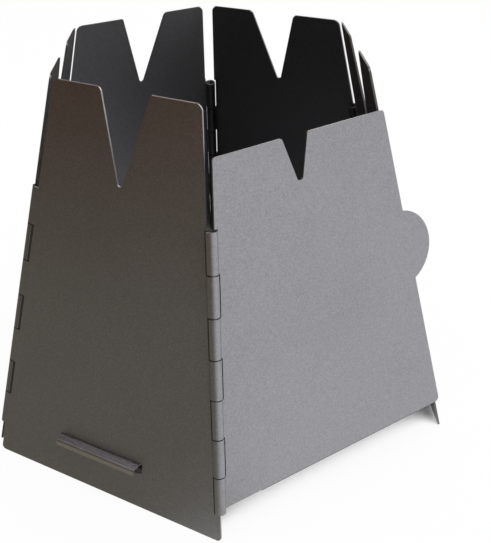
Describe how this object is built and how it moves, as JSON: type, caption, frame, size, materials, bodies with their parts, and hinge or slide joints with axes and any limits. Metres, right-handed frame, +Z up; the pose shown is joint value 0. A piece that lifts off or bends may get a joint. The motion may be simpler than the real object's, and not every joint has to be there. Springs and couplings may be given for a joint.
{
  "type": "folding twig stove",
  "caption": "Folding hexagonal twig stove of thin stainless sheet: leaning walls with rolled hinges and notched tops, a hinged door with a thumb tab, and a hooked floor plate.",
  "frame": {"origin": "on the ground, at the middle of the hexagon", "axes": "+Z up; the door faces -Y; +X is to the right of a person who faces the door"},
  "size_m": [0.1444, 0.1257, 0.1016],
  "materials": {
    "wall_sheet": "matte, fine grain",
    "door_sheet": "matte, fine grain",
    "floor_sheet": "matte, fine grain",
    "pin_wire": "bright drawn wire"
  },
  "bodies": {
    "front_pin": {"front_pin": "pin_wire"},
    "left_front": {"left_front_wall": "wall_sheet", "left_pin": "pin_wire"},
    "left_rear": {"left_rear_wall": "wall_sheet", "rear_left_pin": "pin_wire"},
    "rear": {"rear_wall": "wall_sheet", "rear_right_pin": "pin_wire"},
    "right_rear": {"right_rear_wall": "wall_sheet", "right_pin": "pin_wire"},
    "right_front": {"right_front_wall": "wall_sheet"},
    "door": {"door": "door_sheet"},
    "floor": {"floor_plate": "floor_sheet"}
  },
  "joints": [
    {"name": "unroll", "type": "hinge", "parent": "front_pin", "child": "left_front", "pos_m": [-0.03131, -0.05224, 0.04198], "axis": [0.1387, 0.2402, 0.9608], "range_deg": [0, 58]},
    {"name": "left_fold", "type": "hinge", "parent": "left_front", "child": "left_rear", "pos_m": [-0.05952, 0, 0.04158], "axis": [0.2774, 0, 0.9608], "range_deg": [0, 58]},
    {"name": "rear_left_fold", "type": "hinge", "parent": "left_rear", "child": "rear", "pos_m": [-0.02976, 0.05155, 0.04158], "axis": [0.1387, -0.2402, 0.9608], "range_deg": [0, 58]},
    {"name": "rear_right_fold", "type": "hinge", "parent": "rear", "child": "right_rear", "pos_m": [0.02976, 0.05155, 0.04158], "axis": [-0.1387, -0.2402, 0.9608], "range_deg": [0, 58]},
    {"name": "right_fold", "type": "hinge", "parent": "right_rear", "child": "right_front", "pos_m": [0.05952, 0, 0.04158], "axis": [-0.2774, 0, 0.9608], "range_deg": [0, 58]},
    {"name": "floor_lift", "type": "hinge", "parent": "left_front", "child": "floor", "pos_m": [-0.05367, -0.02891, 0.00925], "axis": [0.5, -0.866, 0], "range_deg": [0, 58]},
    {"name": "door_swing", "type": "hinge", "parent": "front_pin", "child": "door", "pos_m": [-0.03131, -0.05224, 0.04198], "axis": [-0.1387, -0.2402, -0.9608], "range_deg": [0, 80]}
  ],
  "couplings": [
    {"joint": "left_fold", "follows": "unroll", "ratio": 1},
    {"joint": "rear_left_fold", "follows": "unroll", "ratio": 1},
    {"joint": "rear_right_fold", "follows": "unroll", "ratio": 1},
    {"joint": "right_fold", "follows": "unroll", "ratio": 1},
    {"joint": "floor_lift", "follows": "unroll", "ratio": 1}
  ]
}
